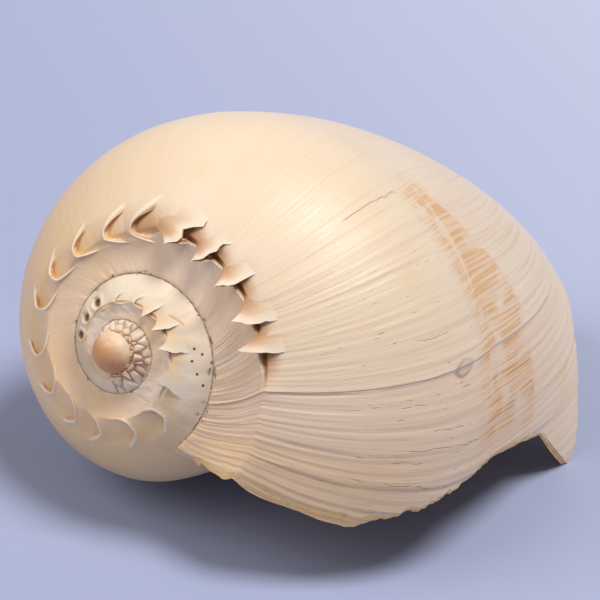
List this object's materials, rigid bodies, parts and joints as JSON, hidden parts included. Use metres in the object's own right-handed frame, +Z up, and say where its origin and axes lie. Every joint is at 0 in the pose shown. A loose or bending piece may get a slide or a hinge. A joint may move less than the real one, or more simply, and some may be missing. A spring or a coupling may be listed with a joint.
{
  "type": "baler sea shell",
  "caption": "Large hollow spiral sea shell with a spined shoulder and a wide chipped mouth, lying mouth down.",
  "frame": {"origin": "middle of the shell's bounding box at floor level, as it lies on its mouth", "axes": "+Z up from the floor; +X towards the front (siphonal) end, -X towards the apex; -Y towards the free lip of the mouth"},
  "size_m": [0.2956, 0.2106, 0.1646],
  "materials": {
    "cream_shell": "semi-gloss worn natural shell"
  },
  "bodies": {
    "root": {"shell": "cream_shell"}
  },
  "joints": []
}
